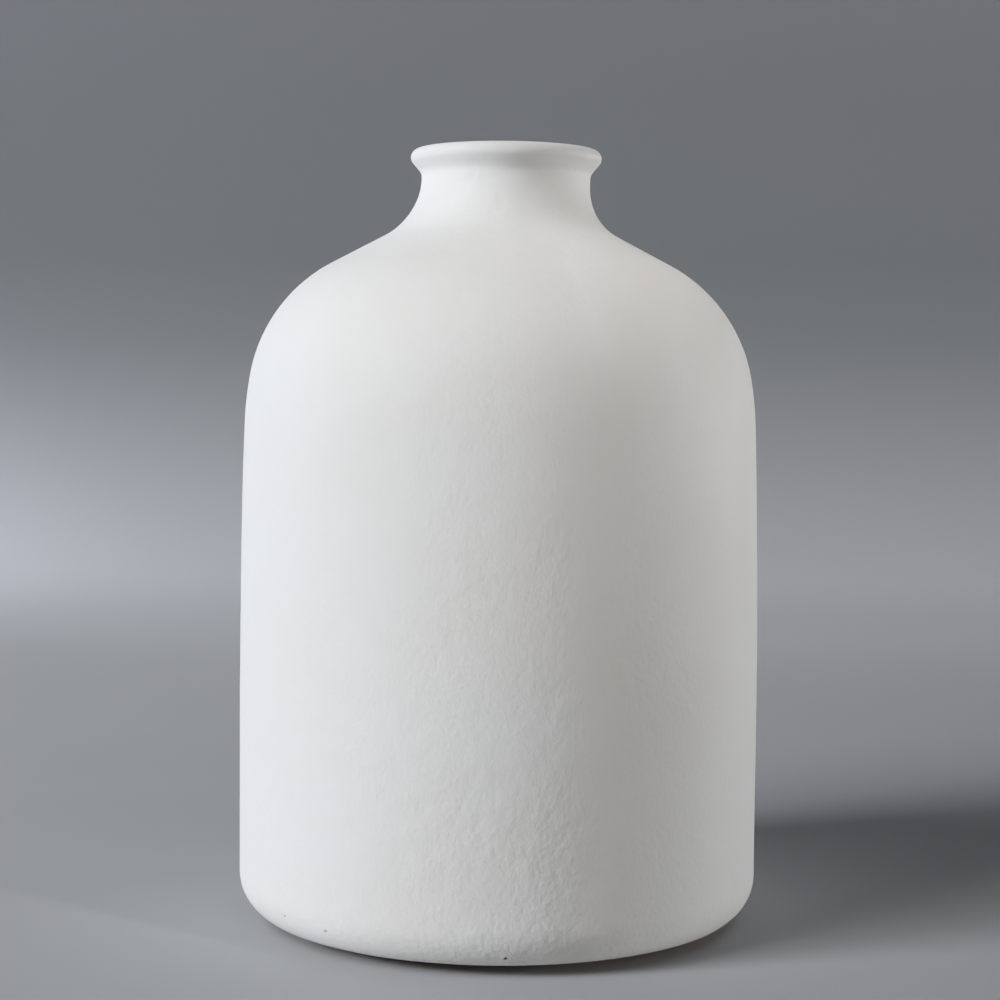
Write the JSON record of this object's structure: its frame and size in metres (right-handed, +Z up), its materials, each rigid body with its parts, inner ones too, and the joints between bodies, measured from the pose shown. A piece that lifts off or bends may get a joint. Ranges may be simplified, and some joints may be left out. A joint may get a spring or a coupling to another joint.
{
  "type": "bud vase",
  "caption": "Bottle-shaped ceramic bud vase: upright round body, domed shoulder, short narrow neck and a small rolled lip, glazed inside and out, on soft foot pads.",
  "frame": {"origin": "centre of the footprint, at the height of the foot pads' lower faces", "axes": "+Z up along the vase's axis, out of the mouth; the vase is round, so +X and +Y are free, with one foot pad on +Y"},
  "size_m": [0.095, 0.095, 0.1405],
  "materials": {
    "bare_clay": "dry, fine-grained fired clay",
    "matt_white_glaze": "matt, with a fine low relief",
    "satin_liner_glaze": "smooth satin",
    "pad_felt": "pressed felt"
  },
  "bodies": {
    "root": {"clay_body": "bare_clay", "outer_glaze": "matt_white_glaze", "liner_glaze": "satin_liner_glaze", "foot_pads": "pad_felt"}
  },
  "joints": []
}
